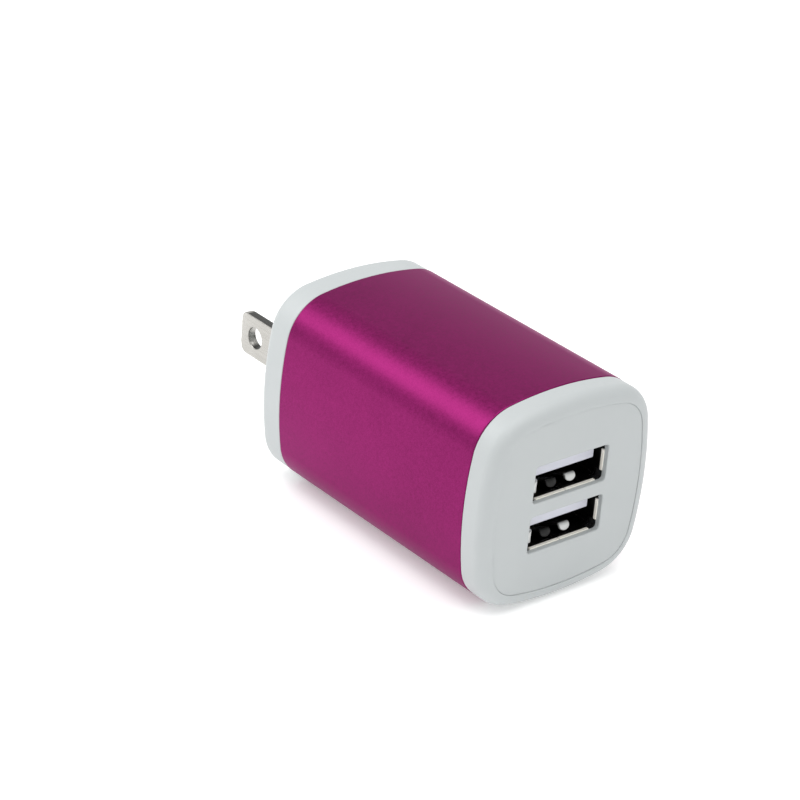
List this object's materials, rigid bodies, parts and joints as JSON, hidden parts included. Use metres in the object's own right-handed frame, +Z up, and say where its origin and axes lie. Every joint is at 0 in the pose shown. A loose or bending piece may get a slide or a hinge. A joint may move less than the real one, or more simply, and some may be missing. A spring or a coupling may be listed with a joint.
{
  "type": "usb wall charger",
  "caption": "Rounded-square wall charger: white end caps on an anodised sleeve, flat plug blades behind and stacked USB-A sockets in front.",
  "frame": {"origin": "on the surface that the charger lies on, below the middle of its bounding box, blades included", "axes": "+Y from the port face to the plug blades, +X from the neutral blade to the line blade and across the sockets, +Z up from one flat side to the other"},
  "size_m": [0.0296, 0.0634, 0.0297],
  "materials": {
    "anodised_aluminium": "magenta anodised, fine blasted grain, satin",
    "white_plastic": "white polycarbonate, satin",
    "inner_plastic": "dark flame-retardant plastic",
    "nickel_plate": "nickel-plated brass",
    "tinned_bronze": "tinned",
    "board": "green glass-epoxy board",
    "socket_steel": "tin-plated steel sheet",
    "socket_plastic": "white socket insert",
    "gold_contact": "gold flash",
    "ferrite": "sintered ferrite",
    "bobbin_plastic": "black phenolic",
    "copper_wire": "enamelled copper",
    "polyester_tape": "yellow film tape",
    "barrier_film": "milky polyester film",
    "capacitor_sleeve": "dark shrink sleeve over an aluminium can",
    "resistor_coating": "green cement coating",
    "disc_coating": "blue epoxy coating",
    "chip_plastic": "black moulding compound",
    "chip_ceramic": "ceramic with tinned ends"
  },
  "bodies": {
    "root": {"blade_line": "nickel_plate", "blade_neutral": "nickel_plate", "blade_retainer": "inner_plastic", "board_header_pins": "tinned_bronze", "bridge_rectifier": "chip_plastic", "bulk_capacitor": "capacitor_sleeve", "chip_capacitors": "chip_ceramic", "chip_resistors": "chip_ceramic", "contact_spring_line": "tinned_bronze", "contact_spring_neutral": "tinned_bronze", "controller_chip": "chip_plastic", "filter_capacitor": "capacitor_sleeve", "fusible_resistor": "resistor_coating", "inner_housing": "inner_plastic", "input_choke_core": "ferrite", "input_choke_winding": "copper_wire", "insulating_barrier": "barrier_film", "main_board": "board", "output_capacitor_a": "capacitor_sleeve", "output_capacitor_b": "capacitor_sleeve", "output_diode": "chip_plastic", "plug_end_cap": "white_plastic", "port_controller_chip": "chip_plastic", "port_end_cap": "white_plastic", "port_face_plate": "white_plastic", "safety_capacitor": "disc_coating", "sleeve": "anodised_aluminium", "switching_transistor": "chip_plastic", "transformer_bobbin": "bobbin_plastic", "transformer_core": "ferrite", "transformer_pins": "tinned_bronze", "transformer_tape": "polyester_tape", "transformer_winding": "copper_wire", "usb_board": "board", "usb_lower_contacts": "gold_contact", "usb_lower_insulator": "socket_plastic", "usb_lower_shell": "socket_steel", "usb_upper_contacts": "gold_contact", "usb_upper_insulator": "socket_plastic", "usb_upper_shell": "socket_steel"}
  },
  "joints": []
}
